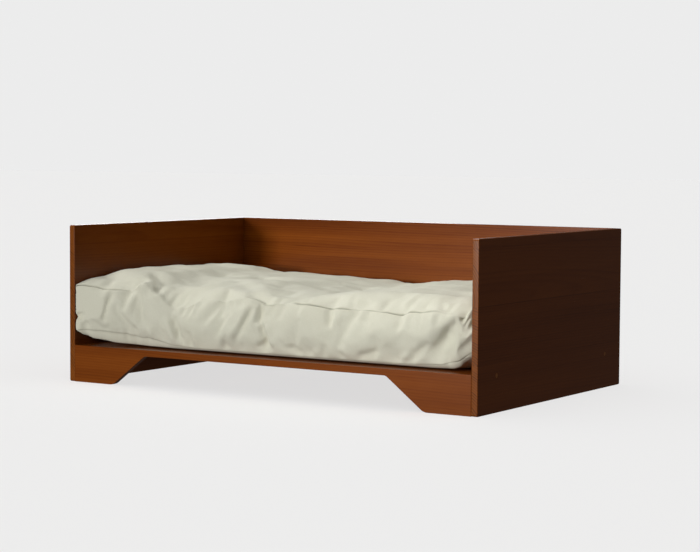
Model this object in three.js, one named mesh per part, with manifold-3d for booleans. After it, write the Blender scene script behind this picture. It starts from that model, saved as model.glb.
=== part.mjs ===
// A dog bed: an open-fronted frame of solid boards that holds a removable boxed cushion.
// Millimetres. +X runs along the bed, +Y to its back, +Z up. The origin is on the floor, under the middle.
import * as THREE from 'three';
import { mergeVertices } from 'three/addons/utils/BufferGeometryUtils.js';
import Module from 'manifold-3d';

const wasm = await Module();
wasm.setup();

// The frame's overall size, and the one board thickness that it is all cut from.
const LENGTH = 1100;
const DEPTH = 700;
const HEIGHT = 370;
const BOARD = 15;
const PLATFORM_TOP = 87;

// The arch cut out of the front rail and the back panel leaves two feet and a strip as deep as the platform.
const ARCH_TOP_HALF = 326;
const ARCH_FOOT_HALF = 420.5;
const SHOULDER_ROUND = 14;
const FOOT_ROUND = 24;

// Edges: the side panels' corners are rounded, and the long arrises of every board are only eased.
const PANEL_CORNER = 4.5;
const EASED = 1.5;

// Joinery. Pieces that sit in a hole are smaller than it by GAP all round.
const GAP = 0.3;
const DOWEL_RADIUS = 4;
const DOWEL_LENGTH = 30;
const DOWEL_IN_FACE = 9;
const DOWEL_CHAMFER = 1;
const HOLE_SPARE = 1;
const BACK_DOWEL_HEIGHTS = [40, 140, 240, 335];
const RAIL_DOWEL_HEIGHTS = [24, 60];
const PLATFORM_END_DOWELS = [-133, 133];
const PLATFORM_EDGE_DOWELS = [-450, -150, 150, 450];
const SCREW_LENGTH = 50;
const SCREW_SPREAD = 266.5;
const PLUG_RADIUS = 5;
const PLUG_DEPTH = 4.7;
const PLUG_EASE = 0.4;
const BATTEN_WIDTH = 30;
const BATTEN_HEIGHT = 18;
const BATTEN_LENGTH = 420;
const BATTEN_PLACE = 220;
const BATTEN_SCREW_LENGTH = 28;
const BATTEN_SCREW_SPREAD = 160;

// The cushion fills the frame, with a little air at its sides.
const CUSHION_LENGTH = 1060;
const CUSHION_FRONT = -325;
const CUSHION_BACK = 330;
const CUSHION_BOXING = 128;
const CUSHION_CROWN = 52;
const CUSHION_EDGE = 30;
const COVER_WALL = 2;
const INSERT_INSET = 4;
const INSERT_WALL = 4;
const FILLING_GAP_LENGTH = 120;
const FILLING_GAP_WIDTH = 4;

// How finely the cushion is divided along, across and up, and how sharply its crown levels out.
const CUSHION_CELLS = [14, 10, 3];
const CROWN_POWER = 4;

// The zip in the cushion's back, which opens the cover so that it can be washed.
const ZIP_LENGTH = 880;
const ZIP_SLOT = 12;
const TAPE_WIDTH = 22;
const TAPE_THICK = 1.2;
const COIL_WIDTH = 5;
const COIL_THICK = 1.6;
const COIL_SUNK = 0.5;
const TAPE_PAST_ZIP = 8;
const COIL_SHORT_OF_ZIP = 2;
const SLIDER_LENGTH = 12;
const SLIDER_WALL = 1.3;
const SLIDER_CLEAR = 0.5;

// Worked out from the above.
const INNER_HALF = LENGTH / 2 - BOARD;
const PLATFORM_MIDDLE = PLATFORM_TOP - BOARD / 2;
const PLATFORM_UNDER = PLATFORM_TOP - BOARD;
const CUSHION_BOTTOM = PLATFORM_TOP + GAP;
const CUSHION_MIDDLE_Y = (CUSHION_FRONT + CUSHION_BACK) / 2;
const ZIP_HEIGHT = CUSHION_BOTTOM + CUSHION_BOXING / 2;

const X = new THREE.Vector3(1, 0, 0);
const Y = new THREE.Vector3(0, 1, 0);
const Z = new THREE.Vector3(0, 0, 1);
const back = (v) => v.clone().negate();

// An outline is drawn in its board's own plane and then stood up to face one of these ways.
const FACING_SIDE = new THREE.Matrix4().makeBasis(Y, Z, X);
const FACING_FRONT = new THREE.Matrix4().makeBasis(X, Z, back(Y));
const LYING_FLAT = new THREE.Matrix4();

const finish = (color, roughness, metalness = 0) => () =>
  new THREE.MeshStandardMaterial({ color, roughness, metalness });
const stainedWood = finish('#7a3f1c', 0.45);
const plainWood = finish('#c9a77a', 0.7);
const zincSteel = finish('#b9bcc0', 0.4, 0.9);
const canvas = finish('#d0ccb9', 0.95);
const liningCloth = finish('#ecebe6', 0.95);
const tapeCloth = finish('#c4c0ae', 0.9);
const zipMetal = finish('#a8a294', 0.45, 0.8);

// Solids: a closed geometry becomes a manifold to be cut, and comes back as a geometry.
function toSolid(geometry) {
  const bare = geometry.clone();
  bare.deleteAttribute('normal');
  bare.deleteAttribute('uv');
  const merged = mergeVertices(bare);
  return new wasm.Manifold(new wasm.Mesh({
    numProp: 3,
    vertProperties: merged.attributes.position.array,
    triVerts: new Uint32Array(merged.index.array),
  }));
}

function toGeometry(solid) {
  const mesh = solid.getMesh();
  const geometry = new THREE.BufferGeometry();
  geometry.setAttribute('position', new THREE.BufferAttribute(mesh.vertProperties, 3));
  geometry.setIndex(new THREE.BufferAttribute(mesh.triVerts, 1));
  return geometry;
}

function cut(geometry, cutters) {
  const solid = cutters.reduce((rest, cutter) => rest.subtract(toSolid(cutter)), toSolid(geometry));
  return toGeometry(solid);
}

function box(low, high) {
  const size = new THREE.Vector3().subVectors(high, low);
  const middle = new THREE.Vector3().addVectors(high, low).multiplyScalar(0.5);
  return new THREE.BoxGeometry(size.x, size.y, size.z).translate(middle.x, middle.y, middle.z);
}

// A closed outline with its corners rounded or, where the radius is left out, sharp: [across, up, radius].
function roundedShape(corners) {
  const shape = new THREE.Shape();
  corners.forEach(([across, up, radius = 0], i) => {
    const here = new THREE.Vector2(across, up);
    const before = corners[(i + corners.length - 1) % corners.length];
    const after = corners[(i + 1) % corners.length];
    const toBefore = new THREE.Vector2(before[0], before[1]).sub(here).normalize();
    const toAfter = new THREE.Vector2(after[0], after[1]).sub(here).normalize();
    const reach = radius / Math.tan(toBefore.angleTo(toAfter) / 2);
    const from = here.clone().addScaledVector(toBefore, reach);
    const to = here.clone().addScaledVector(toAfter, reach);
    if (i === 0) shape.moveTo(from.x, from.y);
    else shape.lineTo(from.x, from.y);
    if (radius > 0) shape.quadraticCurveTo(here.x, here.y, to.x, to.y);
  });
  shape.closePath();
  return shape;
}

// A board of that outline with eased arrises, its middle plane at zero.
function board(corners, facing) {
  const geometry = new THREE.ExtrudeGeometry(roundedShape(corners), {
    depth: BOARD - 2 * EASED,
    curveSegments: 4,
    bevelSegments: 2,
    bevelThickness: EASED,
    bevelSize: EASED,
    bevelOffset: -EASED,
  });
  return geometry.translate(0, 0, EASED - BOARD / 2).applyMatrix4(facing);
}

// A turned piece: its profile's [radius, distance] pairs run from one end to the other, on the axis at both.
function turned(profile, sides = 10) {
  return new THREE.LatheGeometry(profile.map(([r, d]) => new THREE.Vector2(r, d)), sides);
}

// Holes are turned pieces too, stood at a point and pointing into the wood.
function aimed(geometry, at, into) {
  const turn = new THREE.Quaternion().setFromUnitVectors(Y, into);
  return geometry.applyQuaternion(turn).translate(at.x, at.y, at.z);
}

// Dowels: at a point of the plane where two boards meet, pointing into the board that is held by its edge.
function dowel() {
  const start = -DOWEL_IN_FACE;
  const end = DOWEL_LENGTH - DOWEL_IN_FACE;
  return turned([
    [0, start],
    [DOWEL_RADIUS - DOWEL_CHAMFER, start],
    [DOWEL_RADIUS, start + DOWEL_CHAMFER],
    [DOWEL_RADIUS, end - DOWEL_CHAMFER],
    [DOWEL_RADIUS - DOWEL_CHAMFER, end],
    [0, end],
  ]);
}

function dowelHole({ at, into }) {
  const radius = DOWEL_RADIUS + GAP;
  const start = -DOWEL_IN_FACE - HOLE_SPARE;
  const end = DOWEL_LENGTH - DOWEL_IN_FACE + HOLE_SPARE;
  return aimed(turned([[0, start], [radius, start], [radius, end], [0, end]]), at, into);
}

// A countersunk screw, its head's top at zero, and the hole that it needs, which may start further out.
const SCREW_HEAD = 4.7;
const SCREW_SHANK = 2.2;
const HEAD_DEPTH = 2.8;
const HEAD_RIM = 0.4;
const SCREW_TIP = 5;
const SOCKET_RADIUS = 1.7;
const SOCKET_HEIGHT = 4;
const HEAD_CLEAR = 0.3;

function screw(length) {
  const body = turned([
    [0, 0],
    [SCREW_HEAD, 0],
    [SCREW_HEAD, HEAD_RIM],
    [SCREW_SHANK, HEAD_DEPTH],
    [SCREW_SHANK, length - SCREW_TIP],
    [0, length],
  ]);
  const socket = new THREE.CylinderGeometry(SOCKET_RADIUS, SOCKET_RADIUS, SOCKET_HEIGHT, 6);
  return cut(body, [socket]);
}

function screwHole({ at, into }, length, entry) {
  const wide = SCREW_HEAD + GAP + HEAD_CLEAR;
  const narrow = SCREW_SHANK + GAP;
  const profile = [
    [0, -entry],
    [wide, -entry],
    [wide, HEAD_RIM + GAP],
    [narrow, HEAD_DEPTH + GAP],
    [narrow, length + HOLE_SPARE],
    [0, length + HOLE_SPARE],
  ];
  return aimed(turned(profile), at, into);
}

// Where the joinery goes.
function dowelPlaces() {
  const places = [];
  const add = (name, x, y, z, into) => places.push({ name, at: new THREE.Vector3(x, y, z), into });
  const edgeY = DEPTH / 2 - BOARD / 2;
  for (const [side, sign] of [['left', -1], ['right', 1]]) {
    const inward = sign < 0 ? X : back(X);
    BACK_DOWEL_HEIGHTS.forEach((z, i) =>
      add(`back_${side}_${i + 1}`, sign * INNER_HALF, edgeY, z, inward));
    RAIL_DOWEL_HEIGHTS.forEach((z, i) =>
      add(`rail_${side}_${i + 1}`, sign * INNER_HALF, -edgeY, z, inward));
    PLATFORM_END_DOWELS.forEach((y, i) =>
      add(`platform_${side}_${i + 1}`, sign * INNER_HALF, y, PLATFORM_MIDDLE, inward));
  }
  PLATFORM_EDGE_DOWELS.forEach((x, i) => {
    add(`platform_front_${i + 1}`, x, BOARD - DEPTH / 2, PLATFORM_MIDDLE, Y);
    add(`platform_back_${i + 1}`, x, DEPTH / 2 - BOARD, PLATFORM_MIDDLE, back(Y));
  });
  return places;
}

function screwPlaces() {
  const places = [];
  for (const [side, sign] of [['left', -1], ['right', 1]]) {
    for (const [end, y] of [['front', -SCREW_SPREAD], ['back', SCREW_SPREAD]]) {
      const face = new THREE.Vector3(sign * LENGTH / 2, y, PLATFORM_MIDDLE);
      const into = sign < 0 ? X : back(X);
      const at = face.clone().addScaledVector(into, PLUG_DEPTH + GAP);
      places.push({ name: `${side}_${end}`, face, at, into });
    }
  }
  return places;
}

function battenScrewPlaces() {
  const places = [];
  for (const [side, sign] of [['left', -1], ['right', 1]]) {
    [-BATTEN_SCREW_SPREAD, 0, BATTEN_SCREW_SPREAD].forEach((y, i) => {
      const at = new THREE.Vector3(sign * BATTEN_PLACE, y, PLATFORM_UNDER - BATTEN_HEIGHT);
      places.push({ name: `${side}_${i + 1}`, at, into: Z });
    });
  }
  return places;
}

const DOWELS = dowelPlaces();
const SCREWS = screwPlaces();
const BATTEN_SCREWS = battenScrewPlaces();

// The holes that concern one board: those whose name starts with one of the given words.
function dowelHoles(...starts) {
  return DOWELS.filter(({ name }) => starts.some((start) => name.startsWith(start))).map(dowelHole);
}

function platformScrewHoles(side) {
  return SCREWS.filter(({ name }) => name.startsWith(side))
    .map((place) => screwHole(place, SCREW_LENGTH, PLUG_DEPTH + HOLE_SPARE));
}

function battenScrewHoles(side) {
  return BATTEN_SCREWS.filter(({ name }) => name.startsWith(side))
    .map((place) => screwHole(place, BATTEN_SCREW_LENGTH, HOLE_SPARE));
}

// The boards.
function sidePanel(side, sign) {
  const corners = [
    [-DEPTH / 2, 0, PANEL_CORNER],
    [DEPTH / 2, 0, PANEL_CORNER],
    [DEPTH / 2, HEIGHT, PANEL_CORNER],
    [-DEPTH / 2, HEIGHT, PANEL_CORNER],
  ];
  const panel = board(corners, FACING_SIDE).translate(sign * (LENGTH - BOARD) / 2, 0, 0);
  const holes = dowelHoles(`back_${side}`, `rail_${side}`, `platform_${side}`);
  return cut(panel, [...holes, ...platformScrewHoles(side)]);
}

// The lower edge of the rail and of the back panel: a foot at each end and the arch between them.
function archedOutline(top) {
  return [
    [-INNER_HALF, 0],
    [-ARCH_FOOT_HALF, 0, FOOT_ROUND],
    [-ARCH_TOP_HALF, PLATFORM_UNDER, SHOULDER_ROUND],
    [ARCH_TOP_HALF, PLATFORM_UNDER, SHOULDER_ROUND],
    [ARCH_FOOT_HALF, 0, FOOT_ROUND],
    [INNER_HALF, 0],
    [INNER_HALF, top],
    [-INNER_HALF, top],
  ];
}

function frontRail() {
  const rail = board(archedOutline(PLATFORM_TOP), FACING_FRONT).translate(0, (BOARD - DEPTH) / 2, 0);
  return cut(rail, dowelHoles('rail', 'platform_front'));
}

function backPanel() {
  const panel = board(archedOutline(HEIGHT), FACING_FRONT).translate(0, (DEPTH - BOARD) / 2, 0);
  return cut(panel, dowelHoles('back', 'platform_back'));
}

function platformBoard() {
  const halfDepth = DEPTH / 2 - BOARD;
  const corners = [
    [-INNER_HALF, -halfDepth],
    [INNER_HALF, -halfDepth],
    [INNER_HALF, halfDepth],
    [-INNER_HALF, halfDepth],
  ];
  const blank = board(corners, LYING_FLAT).translate(0, 0, PLATFORM_MIDDLE);
  const holes = [...dowelHoles('platform'), ...platformScrewHoles('left'), ...platformScrewHoles('right')];
  return cut(blank, [...holes, ...battenScrewHoles('')]);
}

function batten(side, sign) {
  const low = new THREE.Vector3(-BATTEN_WIDTH / 2, -BATTEN_LENGTH / 2, PLATFORM_UNDER - BATTEN_HEIGHT);
  const high = new THREE.Vector3(BATTEN_WIDTH / 2, BATTEN_LENGTH / 2, PLATFORM_UNDER);
  const bar = box(low, high).translate(sign * BATTEN_PLACE, 0, 0);
  return cut(bar, battenScrewHoles(side));
}

function plug() {
  return turned([
    [0, 0],
    [PLUG_RADIUS - PLUG_EASE, 0],
    [PLUG_RADIUS, PLUG_EASE],
    [PLUG_RADIUS, PLUG_DEPTH],
    [0, PLUG_DEPTH],
  ], 16);
}

// The cushion's form, shrunk by inset: a box with rounded edges whose top rises quickly from its seam to a
// broad, nearly level crown.
function cushionForm(inset) {
  const depth = CUSHION_BACK - CUSHION_FRONT;
  const size = new THREE.Vector3(CUSHION_LENGTH, depth, CUSHION_BOXING);
  const core = size.clone().multiplyScalar(0.5).subScalar(CUSHION_EDGE);
  const radius = CUSHION_EDGE - inset;
  const geometry = new THREE.BoxGeometry(
    2 * (core.x + radius), 2 * (core.y + radius), 2 * (core.z + radius), ...CUSHION_CELLS);
  const place = geometry.attributes.position;
  const point = new THREE.Vector3();
  const nearest = new THREE.Vector3();
  for (let i = 0; i < place.count; i += 1) {
    point.fromBufferAttribute(place, i);
    nearest.copy(point).clamp(core.clone().negate(), core);
    point.sub(nearest).setLength(radius).add(nearest);
    const along = 1 - (point.x / (CUSHION_LENGTH / 2)) ** CROWN_POWER;
    const across = 1 - (point.y / (depth / 2)) ** CROWN_POWER;
    const height = (point.z + CUSHION_BOXING / 2) / CUSHION_BOXING;
    point.z += CUSHION_CROWN * along * across * height;
    place.setXYZ(i, point.x, point.y, point.z);
  }
  return geometry.translate(0, CUSHION_MIDDLE_Y, CUSHION_BOTTOM + CUSHION_BOXING / 2);
}

// The cover: a cloth shell, open along the zip in its back.
function cushionCover() {
  const slot = box(
    new THREE.Vector3(-ZIP_LENGTH / 2, CUSHION_BACK - COVER_WALL - 1, ZIP_HEIGHT - ZIP_SLOT / 2),
    new THREE.Vector3(ZIP_LENGTH / 2, CUSHION_BACK + 1, ZIP_HEIGHT + ZIP_SLOT / 2));
  return cut(cushionForm(0), [cushionForm(COVER_WALL), slot]);
}

// The insert: a lining bag, hollow here where the fibre is, with the gap that it is filled through.
function cushionInsert() {
  const end = CUSHION_LENGTH / 2 - INSERT_INSET;
  const fillingGap = box(
    new THREE.Vector3(end - INSERT_WALL - 1, -FILLING_GAP_LENGTH / 2, ZIP_HEIGHT - FILLING_GAP_WIDTH / 2),
    new THREE.Vector3(end + 1, FILLING_GAP_LENGTH / 2, ZIP_HEIGHT + FILLING_GAP_WIDTH / 2));
  return cut(cushionForm(INSERT_INSET), [cushionForm(INSERT_INSET + INSERT_WALL), fillingGap]);
}

// The zip's tape lies inside the cover, with its closed coil standing in the slot.
const TAPE_FACE = CUSHION_BACK - COVER_WALL - GAP;
const COIL_FACE = TAPE_FACE + COIL_THICK;

function zipTape() {
  const tapeHalf = ZIP_LENGTH / 2 + TAPE_PAST_ZIP;
  const coilHalf = ZIP_LENGTH / 2 - COIL_SHORT_OF_ZIP;
  const tape = box(
    new THREE.Vector3(-tapeHalf, TAPE_FACE - TAPE_THICK, ZIP_HEIGHT - TAPE_WIDTH / 2),
    new THREE.Vector3(tapeHalf, TAPE_FACE, ZIP_HEIGHT + TAPE_WIDTH / 2));
  const coil = box(
    new THREE.Vector3(-coilHalf, TAPE_FACE - COIL_SUNK, ZIP_HEIGHT - COIL_WIDTH / 2),
    new THREE.Vector3(coilHalf, COIL_FACE, ZIP_HEIGHT + COIL_WIDTH / 2));
  return toGeometry(toSolid(tape).add(toSolid(coil)));
}

// The slider straddles the coil: a plate with a flange down each side. It has no pull tab.
function zipSlider() {
  const inside = COIL_WIDTH / 2 + SLIDER_CLEAR;
  const outside = inside + SLIDER_WALL;
  const under = COIL_FACE + GAP;
  const block = box(
    new THREE.Vector3(-SLIDER_LENGTH / 2, TAPE_FACE + GAP, -outside),
    new THREE.Vector3(SLIDER_LENGTH / 2, under + SLIDER_WALL, outside));
  const channel = box(
    new THREE.Vector3(-SLIDER_LENGTH, TAPE_FACE - 1, -inside),
    new THREE.Vector3(SLIDER_LENGTH, under, inside));
  return cut(block, [channel]);
}

// The assembly.
function named(name, geometry, material) {
  const mesh = new THREE.Mesh(geometry, material);
  mesh.name = name;
  return mesh;
}

function stood(mesh, at, into) {
  mesh.position.copy(at);
  mesh.quaternion.setFromUnitVectors(Y, into);
  return mesh;
}

function frame() {
  const group = new THREE.Group();
  for (const [side, sign] of [['left', -1], ['right', 1]]) {
    group.add(named(`${side}_side_panel`, sidePanel(side, sign), stainedWood()));
    group.add(named(`batten_${side}`, batten(side, sign), plainWood()));
  }
  group.add(named('back_panel', backPanel(), stainedWood()));
  group.add(named('front_rail', frontRail(), stainedWood()));
  group.add(named('platform_board', platformBoard(), stainedWood()));
  for (const { name, at, into } of DOWELS) {
    group.add(stood(named(`dowel_${name}`, dowel(), plainWood()), at, into));
  }
  for (const { name, face, at, into } of SCREWS) {
    group.add(stood(named(`platform_screw_${name}`, screw(SCREW_LENGTH), zincSteel()), at, into));
    group.add(stood(named(`plug_${name}`, plug(), stainedWood()), face, into));
  }
  for (const { name, at, into } of BATTEN_SCREWS) {
    group.add(stood(named(`batten_screw_${name}`, screw(BATTEN_SCREW_LENGTH), zincSteel()), at, into));
  }
  return group;
}

function cushion() {
  const group = new THREE.Group();
  group.add(named('cushion_cover', cushionCover(), canvas()));
  group.add(named('cushion_insert', cushionInsert(), liningCloth()));
  group.add(named('zip_tape', zipTape(), tapeCloth()));
  const slider = named('zip_slider', zipSlider(), zipMetal());
  slider.position.set(ZIP_LENGTH / 2 - SLIDER_LENGTH, 0, ZIP_HEIGHT);
  group.add(slider);
  return group;
}

const dogBed = new THREE.Group();
dogBed.add(frame(), cushion());

export default dogBed;
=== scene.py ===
# %% [markdown]
# # A dog bed with a solid frame and a boxed cushion
# The bed is five stained boards, butt-jointed with dowels and plugged screws, and a loose cushion in a canvas
# cover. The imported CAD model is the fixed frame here: every piece made below takes its place from a CAD node
# and rides on that node's body. Everything is in metres, with +X along the bed, +Y to its back and +Z up.

# %% Load the frame
import math

import bmesh
import bpy
from mathutils import Matrix, Vector, noise


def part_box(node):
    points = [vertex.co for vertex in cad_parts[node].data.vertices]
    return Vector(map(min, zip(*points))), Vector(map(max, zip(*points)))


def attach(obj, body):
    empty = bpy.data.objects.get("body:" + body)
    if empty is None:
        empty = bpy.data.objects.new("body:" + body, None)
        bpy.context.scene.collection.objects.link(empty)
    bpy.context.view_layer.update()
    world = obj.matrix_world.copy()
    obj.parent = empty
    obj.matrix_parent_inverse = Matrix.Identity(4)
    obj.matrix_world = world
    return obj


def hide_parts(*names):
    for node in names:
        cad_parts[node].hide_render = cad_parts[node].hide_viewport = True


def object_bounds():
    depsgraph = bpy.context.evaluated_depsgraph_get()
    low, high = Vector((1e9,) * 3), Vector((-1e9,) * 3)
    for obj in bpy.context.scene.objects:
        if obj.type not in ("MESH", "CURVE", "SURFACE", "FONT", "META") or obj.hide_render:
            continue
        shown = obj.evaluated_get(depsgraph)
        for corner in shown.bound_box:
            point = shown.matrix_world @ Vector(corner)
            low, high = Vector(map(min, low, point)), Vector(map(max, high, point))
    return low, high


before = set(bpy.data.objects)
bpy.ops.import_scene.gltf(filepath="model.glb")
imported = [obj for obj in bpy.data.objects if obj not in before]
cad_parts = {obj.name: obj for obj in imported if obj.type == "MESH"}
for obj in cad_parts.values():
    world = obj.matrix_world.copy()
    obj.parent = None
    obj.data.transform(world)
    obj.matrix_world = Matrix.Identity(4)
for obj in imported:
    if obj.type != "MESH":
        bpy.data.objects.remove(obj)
cad_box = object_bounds()
MM = 0.001

# %% [markdown]
# ## Camera
# A long lens from a little above the bed, well to its right, shows the front, the inside of the back panel and
# the outside of the right panel, with little perspective. The tiny roll is the tripod's.

# %% Camera
CAMERA_PLACE = (2.4838, -3.8886, 0.5559)
CAMERA_HEADING = math.radians(32.43)
CAMERA_DIP = math.radians(3.75)
CAMERA_ROLL = math.radians(0.34)
SENSOR = 36.0
LENS = 100.54

camera = bpy.data.objects.new("camera", bpy.data.cameras.new("camera"))
bpy.context.scene.collection.objects.link(camera)
camera.data.sensor_width = SENSOR
camera.data.lens = LENS
turn = (Matrix.Rotation(CAMERA_HEADING, 4, "Z") @ Matrix.Rotation(math.pi / 2 - CAMERA_DIP, 4, "X")
        @ Matrix.Rotation(CAMERA_ROLL, 4, "Z"))
camera.matrix_world = Matrix.Translation(CAMERA_PLACE) @ turn
bpy.context.scene.camera = camera
print("field of view:", round(math.degrees(camera.data.angle), 1), "degrees")

# %% [markdown]
# ## Materials: two helpers
# Every finish below is a small node tree. One helper turns an sRGB hex value into the linear colour that
# shaders work in, and one adds a node with its settings and links, so that a tree reads from top to bottom.

# %% Material helpers
def linear(hex_colour):
    """An sRGB hex value such as "c8a070" as a linear RGBA colour."""
    channels = [int(hex_colour[i:i + 2], 16) / 255 for i in (0, 2, 4)]
    return tuple(c / 12.92 if c <= 0.04045 else ((c + 0.055) / 1.055) ** 2.4 for c in channels) + (1.0,)


def add(material, kind, settings=None, **inputs):
    """Adds a node with its own settings. An input takes a value, a socket, or a node's first output."""
    node = material.node_tree.nodes.new("ShaderNode" + kind)
    for key, value in (settings or {}).items():
        setattr(node, key, value)
    for key, value in inputs.items():
        number = key[1:] if key[0] == "i" and key[1:].isdigit() else None
        socket = node.inputs[int(number)] if number else node.inputs[key.replace("_", " ")]
        if isinstance(value, bpy.types.Node):
            value = value.outputs[0]
        if isinstance(value, bpy.types.NodeSocket):
            material.node_tree.links.new(value, socket)
        else:
            socket.default_value = value
    return node


PLUS, LESS = {"operation": "ADD"}, {"operation": "SUBTRACT"}
TIMES, OVER = {"operation": "MULTIPLY"}, {"operation": "DIVIDE"}
TIMES_PLUS, WAVE = {"operation": "MULTIPLY_ADD"}, {"operation": "SINE"}
WHOLE, REST, SIZE, ROOT = ({"operation": kind} for kind in ("FLOOR", "FRACT", "ABSOLUTE", "SQRT"))
SOFT_STEP = {"interpolation_type": "SMOOTHSTEP"}
ONE_NUMBER = {"noise_dimensions": "1D"}


def new_material(name):
    """An empty material, and the function that adds a node to it."""
    material = bpy.data.materials.new(name)
    material.use_nodes = True
    material.node_tree.nodes.clear()
    return material, lambda kind, settings=None, **inputs: add(material, kind, settings, **inputs)


print("mid grey 808080 is", round(linear("808080")[0], 3), "in linear light")


# %% [markdown]
# ## Studio: floor
# The floor has its own lights, so that it can be pale without washing out the wood, and it sends none back to
# the bed. Two collections say which light reaches what: one holds the floor alone, the other all but the floor.

# %% Floor
PALE = (0.84, 0.84, 0.84, 1.0)
FLOOR_SIZE = 60

floor_material, node = new_material("painted pale floor")
node("OutputMaterial", Surface=node("BsdfDiffuse", Color=PALE))

bpy.ops.object.select_all(action="DESELECT")
bpy.ops.mesh.primitive_plane_add(size=FLOOR_SIZE, location=(0, 0, 0))
floor = bpy.context.object
floor.name = "floor"
floor.data.materials.append(floor_material)
floor.visible_diffuse = False
floor.visible_glossy = False

floor_only = bpy.data.collections.new("floor only")
floor_only.objects.link(floor)
all_but_floor = bpy.data.collections.new("all but the floor")
all_but_floor.objects.link(floor)
all_but_floor.collection_objects[0].light_linking.link_state = "EXCLUDE"
print("floor:", FLOOR_SIZE, "m square")

# %% [markdown]
# ## Studio: lights
# The key is a softbox almost straight in front, left of the middle and hardly above the bed, so that the left
# panel throws its shadow down the back panel. A big overhead sheet hangs on the left too: it lights the top of
# the cushion and leaves the left panel's inner face dark. A small fill with a narrow beam lifts the right half
# of the cushion. A low strip on the right just shows the outside of the right panel, and a sheet behind on the
# left shows the bed's back.

# %% Lights
def aim(light, place, target):
    """Puts a light at a place and turns it to a target."""
    direction = Vector(target) - Vector(place)
    light.matrix_world = Matrix.Translation(place) @ direction.to_track_quat("-Z", "Y").to_matrix().to_4x4()


def softbox(name, place, target, size, power, spread=180):
    """A rectangular light of a size in metres and a power in watts, on all but the floor."""
    data = bpy.data.lights.new(name, "AREA")
    data.shape = "RECTANGLE"
    data.size, data.size_y = size
    data.energy = power
    data.spread = math.radians(spread)
    light = bpy.data.objects.new(name, data)
    bpy.context.scene.collection.objects.link(light)
    aim(light, place, target)
    light.light_linking.receiver_collection = all_but_floor
    return light


def floor_sun(name, strength, softness, casts_shadow):
    """Parallel light on the floor alone. Its shadow is as soft as its angle in degrees is wide."""
    data = bpy.data.lights.new(name, "SUN")
    data.energy = strength
    data.angle = math.radians(softness)
    light = bpy.data.objects.new(name, data)
    bpy.context.scene.collection.objects.link(light)
    light.light_linking.receiver_collection = floor_only
    if not casts_shadow:
        light.light_linking.blocker_collection = floor_only
    return light


bed_middle = (cad_box[0] + cad_box[1]) / 2
softbox("key", (-1.15, -5.2, 0.66), bed_middle, (0.5, 0.5), 174)
softbox("overhead", (-0.95, 0.3, 2.7), (0.1, 0.0, 0.1), (1.8, 1.4), 49)
softbox("fill", (0.45, -1.8, 1.8), (0.5, 0.0, 0.24), (0.4, 0.4), 1.1, 44)
softbox("side", (3.4, -1.5, 0.22), (0.55, 0.0, 0.2), (1.2, 0.25), 4.5)
softbox("behind", (-2.6, 3.4, 1.2), bed_middle, (1.8, 1.2), 30)
floor_sun("floor fill", math.pi * 0.815, 1, False)
floor_sun("floor shade", math.pi * 0.105, 120, True)

# %% Surroundings
SKY_TINT = (1.0, 0.97, 0.92, 1.0)
SKY_STRENGTH = 0.085

world = bpy.data.worlds.new("studio")
bpy.context.scene.world = world
world.use_nodes = True
world.node_tree.nodes.clear()
seen = add(world, "Background", Color=PALE)
lit = add(world, "Background", Color=SKY_TINT, Strength=SKY_STRENGTH)
for_camera = add(world, "LightPath").outputs["Is Camera Ray"]
add(world, "OutputWorld", Surface=add(world, "MixShader", i0=for_camera, i1=lit, i2=seen))
bpy.context.scene.view_settings.view_transform = "Standard"

# %% [markdown]
# ## Modelling helpers
# The boards are modelled as by hand: a primitive is added at its size and place, faces and edges are picked by
# where they are, and edit-mode operators shape them. The helper that picks is the only one that looks inside
# the mesh.

# %% Modelling helpers
def only(piece):
    """Selects one piece and nothing else."""
    bpy.ops.object.select_all(action="DESELECT")
    piece.select_set(True)
    bpy.context.view_layer.objects.active = piece


def start_block(name, low, high):
    """A cube primitive stretched between two corners, its object at the origin."""
    bpy.ops.object.select_all(action="DESELECT")
    bpy.ops.mesh.primitive_cube_add(size=1, location=(Vector(low) + Vector(high)) / 2)
    block = bpy.context.object
    block.name = name
    block.scale = Vector(high) - Vector(low)
    bpy.ops.object.transform_apply(location=True, rotation=False, scale=True)
    return block


def pick(piece, kind, test):
    """In edit mode, selects just the verts, edges or faces whose middle passes the test."""
    bpy.context.tool_settings.mesh_select_mode = (kind == "verts", kind == "edges", kind == "faces")
    bpy.ops.mesh.select_all(action="DESELECT")
    mesh = bmesh.from_edit_mesh(piece.data)
    picked = 0
    for part in getattr(mesh, kind):
        middle = part.co if kind == "verts" else sum((v.co for v in part.verts), Vector()) / len(part.verts)
        if test(middle):
            part.select_set(True)
            picked += 1
    mesh.select_flush(True) if kind == "verts" else mesh.select_flush_mode()
    bmesh.update_edit_mesh(piece.data)
    return picked


def apply_modifier(piece, kind, **settings):
    """Adds a modifier with its settings and applies it."""
    only(piece)
    modifier = piece.modifiers.new(kind.lower(), kind)
    for key, value in settings.items():
        setattr(modifier, key, value)
    bpy.ops.object.modifier_apply(modifier=modifier.name)


# %% Finishing helpers
def ease_and_smooth(piece, width=1.5 * MM, segments=3):
    """Rounds every arris and shades the flats flat and the rounds round."""
    apply_modifier(piece, "BEVEL", width=width, segments=segments, limit_method="ANGLE",
                   angle_limit=math.radians(40))
    settle_normals(piece)


def settle_normals(piece):
    """Flat faces stay flat up to the rounds beside them."""
    bpy.ops.object.shade_smooth_by_angle(angle=math.radians(35))
    apply_modifier(piece, "WEIGHTED_NORMAL", keep_sharp=True)


def stand_for(piece, node_name, body):
    """A finished piece takes a CAD node's place."""
    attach(piece, body)
    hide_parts(node_name)
    print(node_name, "->", len(piece.data.polygons), "faces")
    return piece

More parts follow.
